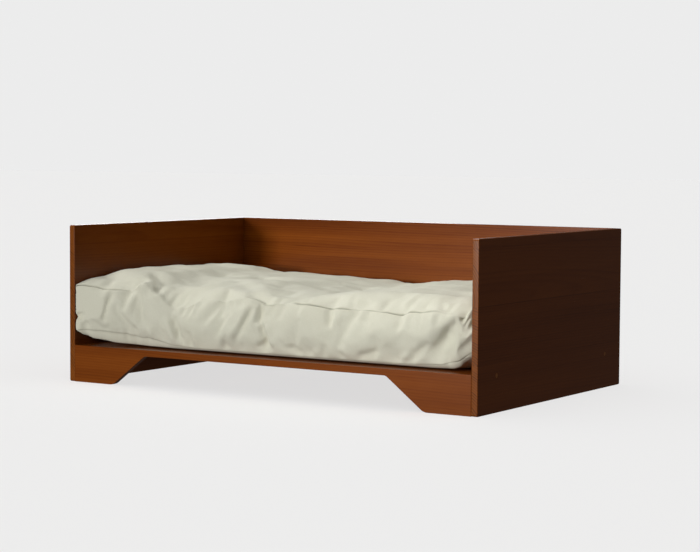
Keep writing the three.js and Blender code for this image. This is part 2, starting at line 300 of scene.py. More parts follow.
# %% [markdown]
# ## Wood: a stained solid board
# The boards are softwood staves glued edge to edge, stained reddish brown and finished with a satin varnish.
# A picture of wood wrapped round a board goes wrong at its ends, so the finish is worked out in three
# dimensions instead: each stave is cut from its own place in a tree whose growth rings are cylinders round a
# pith line, slightly bent by noise. Where a face runs along the grain the rings show as lines and long arches,
# and where it crosses the grain they show as stripes across the end.

# %% Wood: sizes and tones
RING_WIDTH = 5.2 * MM
RING_DEPTH = 0.16
END_RING_DEPTH = 0.65
STAVE_WIDTH = 122 * MM
JOINT_WIDTH = 4 * MM
JOINT_DEPTH = 0.13
STREAK_WIDTH = 38 * MM
STREAK_DEPTH = 0.60
FIBRE_WIDTH = 1.3 * MM
FIBRE_STRETCH = 0.03
FIBRE_DEPTH = 0.30
STAVE_DEPTH = 0.14
BEND = 34 * MM
TAPER = 0.012
TREE_AT_LEAST, TREE_AT_MOST = 50 * MM, 120 * MM
PITH_LOW, PITH_HIGH = -150 * MM, 10 * MM
# end is the tone mixed into end-grain faces. It is partly the end grain's own look and partly a painted
# highlight of the varnish on the edges.
STAINED = {"late": "481c04", "mid": "75390c", "early": "904d15", "end": "94642e", "gloss": 0.20}


# %% Wood: staves
def staves(node, across, stave_shift, seed):
    """For the stave that a point is in: how near its glue joint, three chances of its own, and its middle."""
    count = node("Math", OVER, i0=node("Math", PLUS, i0=across, i1=stave_shift), i1=STAVE_WIDTH)
    stave = node("Math", WHOLE, i0=count)
    joint = node("MapRange", SOFT_STEP, i0=node("Math", REST, i0=count), i1=1 - JOINT_WIDTH / STAVE_WIDTH,
                 i2=1.0)
    chance = node("TexWhiteNoise", ONE_NUMBER, W=node("Math", PLUS, i0=stave, i1=seed)).outputs["Color"]
    chances = node("SeparateXYZ", Vector=chance).outputs
    middle = node("Math", TIMES_PLUS, i0=node("Math", PLUS, i0=stave, i1=0.5), i1=STAVE_WIDTH, i2=-stave_shift)
    return joint, chances, middle


# %% Wood: growth rings
def growth_rings(node, place, shifted, chances, stave_middle, seed):
    """Pale wood that darkens slowly to a sharp late edge. No two years are alike, and the tree isn't straight:
    it bends slowly, and it tapers, which turns lines into long arches."""
    along, across, through = place
    pith_across = node("Math", TIMES_PLUS, i0=chances[1], i1=PITH_HIGH - PITH_LOW, i2=PITH_LOW)
    pith_through = node("Math", TIMES_PLUS, i0=chances[0], i1=TREE_AT_MOST - TREE_AT_LEAST, i2=TREE_AT_LEAST)
    slow_place = node("CombineXYZ", X=shifted, Y=node("Math", TIMES, i0=across, i1=5.0),
                      Z=node("Math", TIMES, i0=through, i1=5.0))
    slow = node("TexNoise", Vector=slow_place, Scale=1.0, Detail=1.5)
    bend = node("Math", TIMES_PLUS, i0=slow, i1=BEND, i2=node("Math", TIMES, i0=along, i1=TAPER))
    a = node("Math", LESS, i0=node("Math", LESS, i0=across, i1=stave_middle), i1=pith_across)
    b = node("Math", PLUS, i0=through, i1=pith_through)
    squares = node("Math", TIMES_PLUS, i0=a, i1=a, i2=node("Math", TIMES, i0=b, i1=b))
    radius = node("Math", PLUS, i0=node("Math", ROOT, i0=squares), i1=bend)
    turns = node("Math", OVER, i0=radius, i1=RING_WIDTH)
    year, share = node("Math", WHOLE, i0=turns), node("Math", REST, i0=turns)
    strength = node("TexWhiteNoise", ONE_NUMBER, W=node("Math", PLUS, i0=year, i1=seed)).outputs["Value"]
    ring = node("Math", TIMES, i0=node("MapRange", SOFT_STEP, i0=share, i1=0.3, i2=0.9),
                i1=node("MapRange", SOFT_STEP, i0=share, i1=1.0, i2=0.9))
    return node("Math", TIMES, i0=ring, i1=node("Math", TIMES_PLUS, i0=strength, i1=0.8, i2=0.2))


# %% Wood: fibres and streaks
def fibres_and_streaks(node, place, shifted):
    """Fibres run along the grain, and the stain takes unevenly over a hand's breadth."""
    along, across, through = place
    fibre_place = node("CombineXYZ", X=node("Math", TIMES, i0=along, i1=FIBRE_STRETCH / FIBRE_WIDTH),
                       Y=node("Math", OVER, i0=across, i1=FIBRE_WIDTH),
                       Z=node("Math", OVER, i0=through, i1=FIBRE_WIDTH))
    streak_place = node("CombineXYZ", X=shifted, Y=node("Math", OVER, i0=across, i1=STREAK_WIDTH),
                        Z=node("Math", OVER, i0=through, i1=STREAK_WIDTH))
    return (node("TexNoise", Vector=fibre_place, Scale=1.0, Detail=3.0, Roughness=0.6),
            node("TexNoise", Vector=streak_place, Scale=1.0, Detail=3.0, Roughness=0.55))


# %% Wood: the finish
def solid_wood(name, tones, piece, grain_along, stave_across, stave_shift, seed, figure=1.0):
    """Gives a piece softwood in the given tones. grain_along and stave_across are the board's axes 0, 1 or 2,
    and figure is how boldly its rings and streaks show."""
    material, node = new_material(name)
    parts = node("SeparateXYZ", Vector=node("TexCoord").outputs["Object"]).outputs
    thickness = 3 - grain_along - stave_across
    middle = sum(corner[thickness] for corner in piece.bound_box) / 8
    through = node("Math", LESS, i0=parts[thickness], i1=middle)
    place = parts[grain_along], parts[stave_across], through
    facing = node("SeparateXYZ", Vector=node("NewGeometry").outputs["Normal"]).outputs[grain_along]
    end_grain = node("MapRange", SOFT_STEP, i0=node("Math", SIZE, i0=facing), i1=0.6, i2=0.9)

    joint, chances, stave_middle = staves(node, parts[stave_across], stave_shift, seed)
    shifted = node("Math", TIMES_PLUS, i0=chances[2], i1=40.0, i2=parts[grain_along])
    ring = growth_rings(node, place, shifted, chances, stave_middle, seed)
    fibre, streak = fibres_and_streaks(node, place, shifted)

    ring_depth = node("Math", TIMES_PLUS, i0=end_grain, i1=-END_RING_DEPTH, i2=-RING_DEPTH * figure)
    tone = node("Math", TIMES_PLUS, i0=ring, i1=ring_depth, i2=0.38 - STREAK_DEPTH * figure / 2)
    for part, depth in ((fibre, FIBRE_DEPTH), (streak, STREAK_DEPTH * figure), (chances[0], STAVE_DEPTH),
                        (joint, -JOINT_DEPTH)):
        tone = node("Math", TIMES_PLUS, i0=part, i1=depth, i2=tone)
    ramp = node("ValToRGB", Fac=tone)
    ramp.color_ramp.elements[0].color = linear(tones["late"])
    ramp.color_ramp.elements[1].color = linear(tones["early"])
    ramp.color_ramp.elements.new(0.5).color = linear(tones["mid"])

    # End-grain faces are mixed a little towards the paler end tone. This is partly the end grain's own look and
    # partly a painted highlight of the varnish.
    pale = node("Math", TIMES, i0=end_grain, i1=0.15)
    colour = node("MixRGB", Fac=pale, Color1=ramp, Color2=linear(tones["end"]))
    gloss = node("Math", TIMES_PLUS, i0=fibre, i1=0.10, i2=tones["gloss"])
    height = node("Math", TIMES_PLUS, i0=ring, i1=-0.3, i2=node("Math", TIMES, i0=fibre, i1=0.7))
    bump = node("Bump", Height=height, Strength=0.2, Distance=0.2 * MM)
    node("OutputMaterial", Surface=node("BsdfPrincipled", Base_Color=colour, Roughness=gloss, Normal=bump,
                                        IOR=1.45, Specular_IOR_Level=0.2))
    piece.data.materials.clear()
    piece.data.materials.append(material)
    return material


print("rings in a stave:", round(STAVE_WIDTH / RING_WIDTH))

# %% [markdown]
# ## Side panels
# On the real bed each end is one flat board that stands on the floor, its four corners rounded with a router
# and its arrises eased. A block, one bevel of the corner edges and a small bevel modifier give just that. The
# screw holes are bored with a boolean, so that the plugs sit in real holes.

# %% Side panels
PANEL_CORNER = 4.5 * MM
PLUG_HOLE = 5.08 * MM


def corner_of(value, low, high, slack=1e-5):
    """Whether a place is at one of two ends."""
    return abs(value - low) < slack or abs(value - high) < slack


def bore(piece, place, axis_turn, radius, depth, end_radius=None):
    """Cuts a round hole, straight or tapered, its axis turned to lie along X or left along Z."""
    bpy.ops.object.select_all(action="DESELECT")
    bpy.ops.mesh.primitive_cone_add(vertices=48, radius1=radius, radius2=end_radius or radius, depth=2 * depth,
                                    location=place, rotation=axis_turn)
    drill = bpy.context.object
    apply_modifier(piece, "BOOLEAN", operation="DIFFERENCE", object=drill, solver="EXACT")
    bpy.data.objects.remove(drill)


def side_panel(node_name, side):
    """One end of the bed: a board with rounded corners and two plug holes."""
    low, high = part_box(node_name)
    panel = start_block(node_name + "_board", low, high)
    bpy.ops.object.mode_set(mode="EDIT")
    pick(panel, "edges", lambda m: corner_of(m.y, low.y, high.y) and corner_of(m.z, low.z, high.z))
    bpy.ops.mesh.bevel(offset=PANEL_CORNER, segments=6)
    bpy.ops.object.mode_set(mode="OBJECT")
    ease_and_smooth(panel)
    for end in ("front", "back"):
        plug_low, plug_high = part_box(f"plug_{side}_{end}")
        middle = (plug_low + plug_high) / 2
        outer = low.x if side == "left" else high.x
        bore(panel, (outer, middle.y, middle.z), (0, math.pi / 2, 0), PLUG_HOLE, plug_high.x - plug_low.x)
    settle_normals(panel)
    return stand_for(panel, node_name, "frame")


left_panel = side_panel("left_side_panel", "left")
right_panel = side_panel("right_side_panel", "right")
solid_wood("stained softwood, left panel", STAINED, left_panel, 1, 2, 0.04, 3, 0.9)
solid_wood("stained softwood, right panel", STAINED, right_panel, 1, 2, 0.015, 11, 0.85)

# %% [markdown]
# ## Front rail and back panel
# Both have the same wide arch sawn out of their lower edge, which leaves two feet. It could be a boolean, but
# it is as quick to build: start with the straight strip above the arch, cut it where the feet begin, pull the
# feet down and slide their inner edges outwards. The router's rounding is then a bevel of four edges.

# %% Arched boards
ARCH_TOP_HALF = 326 * MM
ARCH_FOOT_HALF = 420.5 * MM
SHOULDER_ROUND = 14 * MM
FOOT_ROUND = 24 * MM


def arched_board(node_name):
    """A straight strip that grows two feet."""
    low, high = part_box(node_name)
    strip_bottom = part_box("platform_board")[0].z
    plank = start_block(node_name + "_board", (low.x, low.y, strip_bottom), high)
    bpy.ops.object.mode_set(mode="EDIT")
    for x in (-ARCH_TOP_HALF, ARCH_TOP_HALF):
        bpy.ops.mesh.select_all(action="SELECT")
        bpy.ops.mesh.bisect(plane_co=(x, 0, 0), plane_no=(1, 0, 0))
    pick(plank, "faces", lambda m: abs(m.z - strip_bottom) < 1e-5 and abs(m.x) > ARCH_TOP_HALF)
    bpy.ops.mesh.extrude_region_move(TRANSFORM_OT_translate={"value": (0, 0, low.z - strip_bottom)})
    for sign in (-1, 1):
        pick(plank, "verts", lambda m: abs(m.z - low.z) < 1e-5 and abs(m.x - sign * ARCH_TOP_HALF) < 1e-5)
        bpy.ops.transform.translate(value=(sign * (ARCH_FOOT_HALF - ARCH_TOP_HALF), 0, 0))
    for half, height, radius in ((ARCH_TOP_HALF, strip_bottom, SHOULDER_ROUND),
                                 (ARCH_FOOT_HALF, low.z, FOOT_ROUND)):
        pick(plank, "edges", lambda m: abs(abs(m.x) - half) < 1e-5 and abs(m.z - height) < 1e-5)
        slope = math.atan2(strip_bottom - low.z, ARCH_FOOT_HALF - ARCH_TOP_HALF)
        bpy.ops.mesh.bevel(offset=radius * math.tan(slope / 2), segments=8)
    bpy.ops.object.mode_set(mode="OBJECT")
    ease_and_smooth(plank)
    return stand_for(plank, node_name, "frame")


front_rail = arched_board("front_rail")
solid_wood("stained softwood, front rail", STAINED, front_rail, 0, 2, 0.03, 21, 1.3)
back_panel = arched_board("back_panel")
solid_wood("stained softwood, back panel", STAINED, back_panel, 0, 2, 0.0635, 35, 1.7)

# %% [markdown]
# ## Platform
# The board that the cushion lies on is the same stained stock. Little of it shows: a line in front of the
# cushion, its underside, and its top when the cushion is lifted out.

# %% Platform
platform = start_block("platform_board_board", *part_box("platform_board"))
ease_and_smooth(platform, 1.0 * MM, 2)
stand_for(platform, "platform_board", "frame")
solid_wood("stained softwood, platform", STAINED, platform, 0, 1, 0.02, 47)

# %% [markdown]
# ## Plugs
# Each platform screw's hole is closed with a short turned plug, cut level with the panel and stained with it.
# Its grain never quite lines up with the board's, and its arris shows as a hair of light or shadow. It starts
# as a cylinder in the hole that was bored for it, and a bevel eases its rim.

# %% Plugs
PLUG = {"late": "6a3411", "mid": "9a5c28", "early": "b06c30", "end": "a87545", "gloss": 0.22}


def plug(node_name, seed):
    low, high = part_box(node_name)
    middle = (low + high) / 2
    bpy.ops.object.select_all(action="DESELECT")
    bpy.ops.mesh.primitive_cylinder_add(vertices=48, radius=(high.y - low.y) / 2, depth=high.x - low.x,
                                        location=middle, rotation=(0, math.pi / 2, 0))
    piece = bpy.context.object
    piece.name = node_name + "_turned"
    bpy.ops.object.transform_apply(location=True, rotation=True, scale=True)
    ease_and_smooth(piece, 0.35 * MM, 2)
    stand_for(piece, node_name, "frame")
    solid_wood(f"stained plug {seed}", PLUG, piece, 2, 1, 0.0, seed)
    return piece


for number, (side, end) in enumerate((s, e) for s in ("left", "right") for e in ("front", "back")):
    plug(f"plug_{side}_{end}", 60 + number)

# %% [markdown]
# ## Battens
# Two battens are screwed up under the platform to keep it flat. They are plain planed softwood with eased
# arrises, and a screw's head sits in a countersink in each. The countersinks are cut with tapered drills.

# %% Battens
SINK_RADIUS = 5.3 * MM
SINK_SLOPE = 0.9
SINK_DEPTH = 3.1 * MM
PLAIN = {"late": "a8743f", "mid": "c99d66", "early": "d9b583", "end": "b58d5e", "gloss": 0.55}


def batten(side, seed):
    """An eased bar with three countersinks in its underside."""
    bar = start_block(f"batten_{side}_bar", *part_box(f"batten_{side}"))
    ease_and_smooth(bar, 1.2 * MM, 2)
    for number in (1, 2, 3):
        low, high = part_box(f"batten_screw_{side}_{number}")
        middle = (low + high) / 2
        bore(bar, (middle.x, middle.y, low.z), (0, 0, 0), SINK_RADIUS + SINK_SLOPE * SINK_DEPTH, SINK_DEPTH,
             SINK_RADIUS - SINK_SLOPE * SINK_DEPTH)
    settle_normals(bar)
    stand_for(bar, f"batten_{side}", "frame")
    solid_wood(f"planed softwood, {side} batten", PLAIN, bar, 1, 0, 0.07, seed)


batten("left", 71)
batten("right", 73)

# %% [markdown]
# ## The cushion: cloth on a grid
# A boxed cushion has a top panel, a bottom panel and a band between them, sewn with plain seams. It could start
# from a remeshed block, but then the seams would have no edges to follow. So its cloth is laid out as a grid:
# rows 7.5 mm apart on every panel, and a narrow row on both sides of each seam.

# %% Cushion grid
CLOTH_STEP = 7.5 * MM
SEAM_STEP = 2.4 * MM
HALF_LENGTH = 531 * MM
FRONT, BACK = -325 * MM, 330 * MM
BOXING = 126


def smooth(t):
    """0 to 1 with soft ends."""
    t = min(max(t, 0.0), 1.0)
    return t * t * (3 - 2 * t)


def rows(low, high, step, edge):
    """Even rows between two seams, with a narrow one beside each."""
    count = round((high - low - 2 * edge) / step)
    inner = [low + edge + (high - low - 2 * edge) * i / count for i in range(count + 1)]
    return [low] + inner + [high]


def closed_grid(name, xs, ys, zs):
    """A closed box of quads with the given rows, and for every vertex its row numbers."""
    places, numbers, faces = [], {}, []

    def at(i, j, k):
        if (i, j, k) not in numbers:
            numbers[i, j, k] = len(places)
            places.append((xs[i], ys[j], zs[k]))
        return numbers[i, j, k]

    nx, ny, nz = len(xs) - 1, len(ys) - 1, len(zs) - 1
    for i in range(nx):
        for j in range(ny):
            faces.append((at(i, j, 0), at(i, j + 1, 0), at(i + 1, j + 1, 0), at(i + 1, j, 0)))
            faces.append((at(i, j, nz), at(i + 1, j, nz), at(i + 1, j + 1, nz), at(i, j + 1, nz)))
        for k in range(nz):
            faces.append((at(i, 0, k), at(i + 1, 0, k), at(i + 1, 0, k + 1), at(i, 0, k + 1)))
            faces.append((at(i, ny, k), at(i, ny, k + 1), at(i + 1, ny, k + 1), at(i + 1, ny, k)))
    for j in range(ny):
        for k in range(nz):
            faces.append((at(0, j, k), at(0, j, k + 1), at(0, j + 1, k + 1), at(0, j + 1, k)))
            faces.append((at(nx, j, k), at(nx, j + 1, k), at(nx, j + 1, k + 1), at(nx, j, k + 1)))
    mesh = bpy.data.meshes.new(name)
    mesh.from_pydata(places, [], faces)
    piece = bpy.data.objects.new(name, mesh)
    bpy.context.scene.collection.objects.link(piece)
    return piece, list(numbers)


cushion, grid_numbers = closed_grid(
    "boxed_cushion", rows(-HALF_LENGTH, HALF_LENGTH, CLOTH_STEP, SEAM_STEP),
    rows(FRONT, BACK, CLOTH_STEP, SEAM_STEP), rows(0, BOXING * MM, CLOTH_STEP, SEAM_STEP))
print("cushion cloth:", len(cushion.data.polygons), "quads")

# %% [markdown]
# ## The cushion: how it has settled
# Nothing about a used cushion is straight. Its seams rise and fall along the front, its front corners are drawn
# up off the board, and its crown is higher on the left. These tables say so, as heights in millimetres at
# places along the bed, and the grid takes its shape from them.

# %% Settled shape
TOP_SEAM = ((-535, 234), (-517, 235), (-479, 230), (-447, 223), (-413, 221), (-372, 224), (-347, 236),
            (-308, 213), (-285, 195), (-265, 184), (-242, 195), (-196, 204), (-147, 212), (-45, 218), (-6, 211),
            (84, 212), (207, 209), (266, 211), (332, 207), (371, 212.5), (424, 213), (474, 209), (500, 203),
            (518, 224), (535, 230))
BOTTOM_SEAM = ((-535, 121), (-480, 122), (-421, 120), (-356, 112), (-262, 98), (-196, 94), (340, 94), (440, 98),
               (480, 107), (535, 127))
UNDER_EDGE = ((-535, 113), (-503, 104), (-433, 95), (-331, 91.5), (-230, 90), (400, 90), (467, 92), (485, 97),
              (502, 108), (518, 117), (535, 122))
CROWN = ((-535, 249), (-440, 247), (-384, 245), (-330, 233), (-292, 230), (-250, 233), (-196, 229), (-130, 229),
         (-71, 226), (35, 214), (121, 223), (203, 227), (287, 230), (535, 230))
FRONT_PLACE = ((-535, -347), (-500, -342), (-440, -332), (-370, -325), (535, -325))
FRONT_SWELL = ((-535, 32), (-420, 100), (-350, 230), (-80, 300), (20, 190), (110, 115), (535, 105))
SEAM_CLIMB = ((-535, 60), (-430, 150), (535, 170))
TUCK = ((-535, 1), (-440, 4), (-370, 9), (440, 9), (500, 5), (535, 2))
FLOOR_OF_BED = 87.4
SIDE_SEAM = 245
SIDE_SEAM_FALL = 16
BACK_SEAM = 214
BACK_CLIMB = 300
UNDER_SEAM = 98
BACK_SWELL = 230
LEFT_SWELL = 28
RIGHT_SWELL = 90
EDGE = 60
CORNER = 46
DRAWN_IN, PUSHED_OUT = 14, -4


# %% Where each point settles
def along(table, x):
    """A table's value at x, with soft bends between its rows."""
    x = min(max(x, table[0][0]), table[-1][0])
    for (x0, v0), (x1, v1) in zip(table, table[1:]):
        if x <= x1:
            return v0 + (v1 - v0) * smooth((x - x0) / (x1 - x0))
    return table[-1][1]


def rise(distance, reach):
    """How far a stuffed panel has risen at a distance from its seam."""
    return 1 - (1 - min(max(distance / reach, 0), 1)) ** 2.3


def settled(x, y, z):
    """Where a point of the flat-cut box lies once the cushion is stuffed and used, all in mm."""
    height = round(z / BOXING, 3)
    from_front, from_back = y - FRONT / MM, BACK / MM - y
    from_left, from_right = x + HALF_LENGTH / MM, HALF_LENGTH / MM - x
    inward = min(from_front, from_back, from_left, from_right)
    front_share = 1 - smooth(from_front / along(SEAM_CLIMB, x))
    back_share = 1 - smooth(from_back / BACK_CLIMB)
    top = along(TOP_SEAM, x) * front_share + (SIDE_SEAM + (BACK_SEAM - SIDE_SEAM) * back_share
                                              - SIDE_SEAM_FALL * smooth((x + 535) / 900)) * (1 - front_share)
    bottom = along(BOTTOM_SEAM, x) * front_share + UNDER_SEAM * (1 - front_share)
    if height >= 1:
        swell = (rise(from_front, along(FRONT_SWELL, x)) * rise(from_back, BACK_SWELL)
                 * rise(from_left, LEFT_SWELL) * rise(from_right, RIGHT_SWELL))
        up = top + (along(CROWN, x) - top) * swell
    elif height <= 0:
        lift = (along(UNDER_EDGE, x) - FLOOR_OF_BED) * (1 - smooth(from_front / 110))
        lift = max(lift, 4 * (1 - smooth(inward / 50)))
        up = FLOOR_OF_BED + lift + (bottom - FLOOR_OF_BED - lift) * (1 - smooth(inward / 9))
    else:
        up = bottom + (top - bottom) * height
    belly = math.sin(math.pi * min(max(height, 0), 1)) ** 0.8
    tuck = along(TUCK, x) * (1 - belly)
    out_x, out_y = x, y
    if inward < EDGE or 0 < height < 1:
        pull = tuck * (1 - smooth(inward / EDGE))
        out_y += pull * ((1 - smooth(from_front / EDGE)) - (1 - smooth(from_back / EDGE)))
        out_x += 0.4 * pull * ((1 - smooth(from_left / EDGE)) - (1 - smooth(from_right / EDGE)))
    out_y += (along(FRONT_PLACE, x) - FRONT / MM) * (1 - smooth(from_front / 200))
    for gap_x, sign_x in ((from_left, 1), (from_right, -1)):
        for gap_y, sign_y in ((from_front, 1), (from_back, -1)):
            corner = max(0, 1 - gap_x / CORNER) * max(0, 1 - gap_y / CORNER)
            pull = PUSHED_OUT if (sign_x, sign_y) == (1, 1) else DRAWN_IN
            out_x += sign_x * pull * corner ** 1.5
            out_y += sign_y * pull * corner ** 1.5
    return out_x, out_y, up


for vertex in cushion.data.vertices:
    vertex.co = Vector(settled(*(vertex.co / MM))) * MM
low, high = (Vector(map(f, zip(*(v.co for v in cushion.data.vertices)))) for f in (min, max))
print("settled cushion, mm:", [round(v / MM) for v in high - low])

# %% [markdown]
# ## The cushion: folds
# The loose cover folds where the stuffing leaves it slack. The big folds are placed one by one: each is a line
# across the cloth, with a width, a depth, and a side on which the cloth stands up beside it. The small puckers
# along the seams are many and alike, so they are strewn with a fixed random seed.

# %% The big folds
import random

# Each fold: its line as (along the bed, up the band and then back over the top), width, depth, raised side.
FOLDS = (
    (((-431, 208), (-444, 175), (-457, 140)), 7, 5, 1),
    (((-413, 192), (-395, 203), (-376, 212)), 12, 3, 0),
    (((-350, 226), (-362, 200), (-400, 150)), 17, -4, 0),
    (((-347, 196), (-354, 142)), 6, 3, -1),
    (((-262, 184), (-256, 150), (-246, 108)), 8, 6, 1),
    (((-129, 190), (-165, 140)), 9, -4, 0),
    (((-100, 186), (-140, 125)), 8, 3, -1),
    (((-40, 194), (-60, 155), (-84, 122)), 7, 5, 1),
    (((-84, 150), (-112, 112)), 12, -3, 0),
    (((-18, 202), (-22, 162)), 7, 7, 1),
    (((-11, 163), (-4, 130), (6, 108)), 7, 8, -1),
    (((-28, 110), (2, 119)), 6, 5, 0),
    (((252, 198), (251, 150)), 11, 2, 1),
    (((215, 196), (206, 150)), 11, 2, 0),
    (((236, 103), (262, 110), (300, 124)), 9, 4, 0),
    (((60, 117), (92, 99)), 8, 4, 1),
    (((30, 128), (66, 103)), 7, 3, 0),
    (((300, 120), (336, 134), (356, 148), (388, 149), (425, 132)), 18, 2, 0),
    (((340, 104), (366, 118)), 9, -3, 0),
    (((378, 100), (410, 118)), 9, -3, 0),
    (((476, 207), (462, 170), (442, 132), (424, 110)), 22, 5, 1),
    (((482, 212), (486, 160), (480, 108)), 13, -5, 0),
    (((505, 180), (530, 176)), 9, 4, 0),
    (((338, 232), (352, 292)), 12, -3, 0),
    (((-345, 226), (-318, 262), (-250, 300)), 18, -2, 0),
    (((-262, 190), (-225, 250), (-150, 330)), 30, 5, 0),
    (((-242, 408), (-77, 262), (39, 184)), 22, 4, 0),
    (((-240, 520), (-170, 470), (-110, 440)), 24, 5, 0),
    (((30, 560), (85, 520), (150, 505)), 26, 5, 0),
    (((-400, 560), (-330, 500), (-300, 470)), 24, 5, 0),
    (((40, 330), (160, 350), (300, 325)), 24, 3, 1),
)
LATE_FOLDS = (
    (((494, 198), (506, 212), (524, 236)), 8, 15, 0),
    (((-432, 204), (-444, 172), (-456, 142)), 4, 3, 1),
    (((-38, 192), (-52, 170), (-66, 145)), 4, 5, 1),
    (((-18, 198), (-21, 168)), 4, 3, 0),
    (((-10, 160), (-4, 128), (5, 110)), 4, 4, -1),
    (((-258, 170), (-247, 112)), 4, 4, 1),
    (((238, 104), (264, 112), (298, 122)), 5, 2, 0),
    (((470, 190), (448, 140)), 6, 2, 1),
    (((508, 182), (532, 178)), 4, 4, 0),
)
SEAM_HEIGHT = 213
print("folds:", len(FOLDS), "and", len(LATE_FOLDS), "sharp ones")


# %% The height of a fold
def from_line(point, line):
    """How far a point is beside a line, how far along it in shares, and whether it's past an end."""
    best = (1e9, 0.0, 0.0)
    total = sum(math.dist(a, b) for a, b in zip(line, line[1:]))
    passed = 0.0
    for a, b in zip(line, line[1:]):
        length = math.dist(a, b)
        way = ((b[0] - a[0]) / length, (b[1] - a[1]) / length)
        reach = (point[0] - a[0], point[1] - a[1])
        t = reach[0] * way[0] + reach[1] * way[1]
        inside = min(max(t, 0), length)
        gap = math.dist(point, (a[0] + way[0] * inside, a[1] + way[1] * inside))
        if gap < best[0]:
            side = 1 if reach[0] * way[1] - reach[1] * way[0] < 0 else -1
            best = (gap, side, (passed + inside) / total)
        passed += length
    return best


def fold_height(point, fold, narrow=1.0):
    """How far a fold lifts or sinks the cloth at a point."""
    line, width, depth, raised = fold
    width = width * narrow
    gap, side, share = from_line(point, line)
    if gap > 4 * width:
        return 0.0
    beside = gap * side
    fade = smooth(share / 0.25 + 0.3) * smooth((1 - share) / 0.25 + 0.2)
    height = -depth * math.exp(-(beside / width) ** 2)
    if raised:
        height += 0.6 * depth * math.exp(-((beside + raised * 1.9 * width) / (1.3 * width)) ** 2)
    return height * fade


def unrolled(place):
    """The front band and the top as one flat cloth: along the bed, and up then back, in mm."""
    x, y, z = place
    edge = along(FRONT_PLACE, x)
    if y > edge + 14 and z > 180:
        return x, SEAM_HEIGHT + (y - edge)
    return x, z + (SEAM_HEIGHT - along(TOP_SEAM, x)) * smooth((z - 100) / 100)


# %% Puckers
PUCKERS = 150
random.seed(8)

puckers = []
for number in range(PUCKERS):
    side = random.choice(("front", "front", "left", "right", "back", "top"))
    place = random.uniform(-520, 520) if side in ("front", "back", "top") else random.uniform(-310, 310)
    upper = random.random() < 0.5
    start = SEAM_HEIGHT - 3 if upper else 99
    length = random.uniform(14, 44) * (-1 if upper else 1)
    if side == "top":
        start, length = SEAM_HEIGHT + 3, random.uniform(14, 50)
    lean = random.uniform(-12, 12)
    puckers.append((side, (((place, start), (place + lean, start + length)), random.uniform(4, 8),
                           random.uniform(0.8, 2.4), random.choice((-1, 0, 1)))))
print("puckers:", len(puckers))

# %% Pressing the folds in
SLOW_DRIFT, SLOW_REACH = 3.2, 95
QUICK_DRIFT, QUICK_REACH = 1.1, 38


def fold_all(piece, folds, strength, narrow=1.0):
    """Moves each vertex along its normal by the folds and puckers that reach it."""
    normals = [v.normal.copy() for v in piece.data.vertices]
    boxes = []
    for fold in folds:
        line, width = fold[0], fold[1]
        xs, vs = [p[0] for p in line], [p[1] for p in line]
        boxes.append((min(xs) - 4 * width, max(xs) + 4 * width, min(vs) - 4 * width, max(vs) + 4 * width, fold))
    by_side = {side: [p for s, p in puckers if s == side] for side in ("front", "left", "right", "back", "top")}
    for vertex, normal in zip(piece.data.vertices, normals):
        x, y, z = vertex.co / MM
        if z < 89:
            continue
        moved = 0.0
        if normal.y > 0.6 and z < 232:
            side, flat = "back", (x, z)
        elif abs(normal.x) > 0.6 and z < 240:
            side, flat = ("left" if x < 0 else "right"), (y, z - 22)
        else:
            side, flat = "front", unrolled((x, y, z))
            for x0, x1, v0, v1, fold in boxes:
                if x0 < flat[0] < x1 and v0 < flat[1] < v1:
                    moved += fold_height(flat, fold, narrow)
            for pucker in by_side["top"]:
                if abs(flat[0] - pucker[0][0][0]) < 40 and flat[1] < 290:
                    moved += fold_height(flat, pucker, narrow)
        for pucker in by_side[side]:
            if abs(flat[0] - pucker[0][0][0]) < 40:
                moved += fold_height(flat, pucker, narrow)
        drift = (noise.noise(Vector((x, y, z)) / SLOW_REACH) * SLOW_DRIFT
                 + noise.noise(Vector((x, y, z)) / QUICK_REACH) * QUICK_DRIFT)
        vertex.co += normal * (moved + drift) * smooth((z - 91) / 16) * strength * MM


fold_all(cushion, FOLDS, 1.0)
cushion.data.update()
print("highest point, mm:", round(max(v.co.z for v in cushion.data.vertices) / MM))

# %% [markdown]
# ## The cushion: cloth simulation
# The shape so far is drawn and looks it. A cloth simulation with air pressure inside and a little more
# cloth than the shape needs lets the cover find its own small creases between the folds. Gravity is off,
# because the filling carries the cover, the underside stays where it lies, and no point may move far: the
# lower a point, the less it moves, so that the band runs smoothly down to its lower seam.

# %% Cloth simulation
SPARE_CLOTH = 0.025
PRESSURE = 1.0
CLOTH_FRAMES = 16
FURTHEST_MOVE = 12


def give_cloth(piece):
    """Cloth with air inside it, held still along its underside."""
    held = piece.vertex_groups.new(name="held")
    held.add([index for index, (i, j, k) in enumerate(grid_numbers) if k < 2], 1.0, "REPLACE")
    cloth = piece.modifiers.new("cloth", "CLOTH")
    for key, value in {"quality": 5, "mass": 0.3, "tension_stiffness": 15, "compression_stiffness": 15,
                       "shear_stiffness": 8, "bending_stiffness": 0.35, "shrink_min": -SPARE_CLOTH,
                       "use_pressure": True, "uniform_pressure_force": PRESSURE,
                       "vertex_group_mass": held.name}.items():
        setattr(cloth.settings, key, value)
    cloth.settings.effector_weights.gravity = 0
    cloth.point_cache.frame_end = CLOTH_FRAMES
    return cloth


